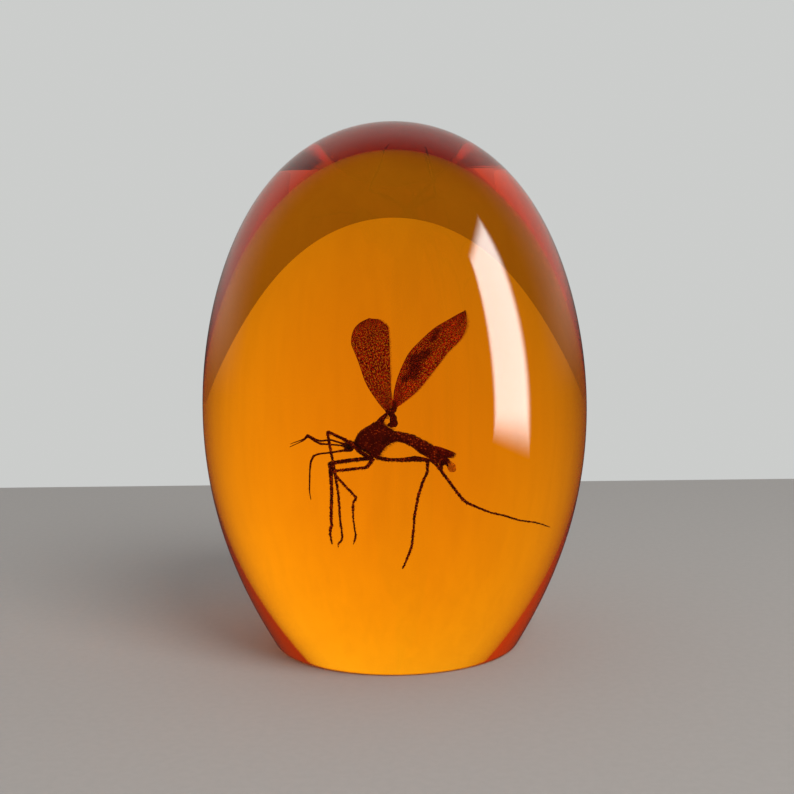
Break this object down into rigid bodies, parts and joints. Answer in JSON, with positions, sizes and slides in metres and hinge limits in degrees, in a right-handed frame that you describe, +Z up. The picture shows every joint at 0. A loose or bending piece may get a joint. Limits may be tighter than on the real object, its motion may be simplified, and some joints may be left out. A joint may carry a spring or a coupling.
{
  "type": "insect in resin",
  "caption": "Mosquito with raised wings, sealed in a clear amber-coloured cast resin egg that stands on a flat foot.",
  "frame": {"origin": "middle of the flat foot that the egg stands on", "axes": "+Z up along the egg's long axis, the mosquito side on to -Y with its head towards -X"},
  "size_m": [0.0558, 0.0558, 0.076],
  "materials": {
    "resin": "clear polished amber-coloured casting resin",
    "mosquito": "dry dark brown insect body with thin brown wings"
  },
  "bodies": {
    "root": {"resin_front": "resin", "resin_back": "resin", "mosquito": "mosquito"}
  },
  "joints": []
}
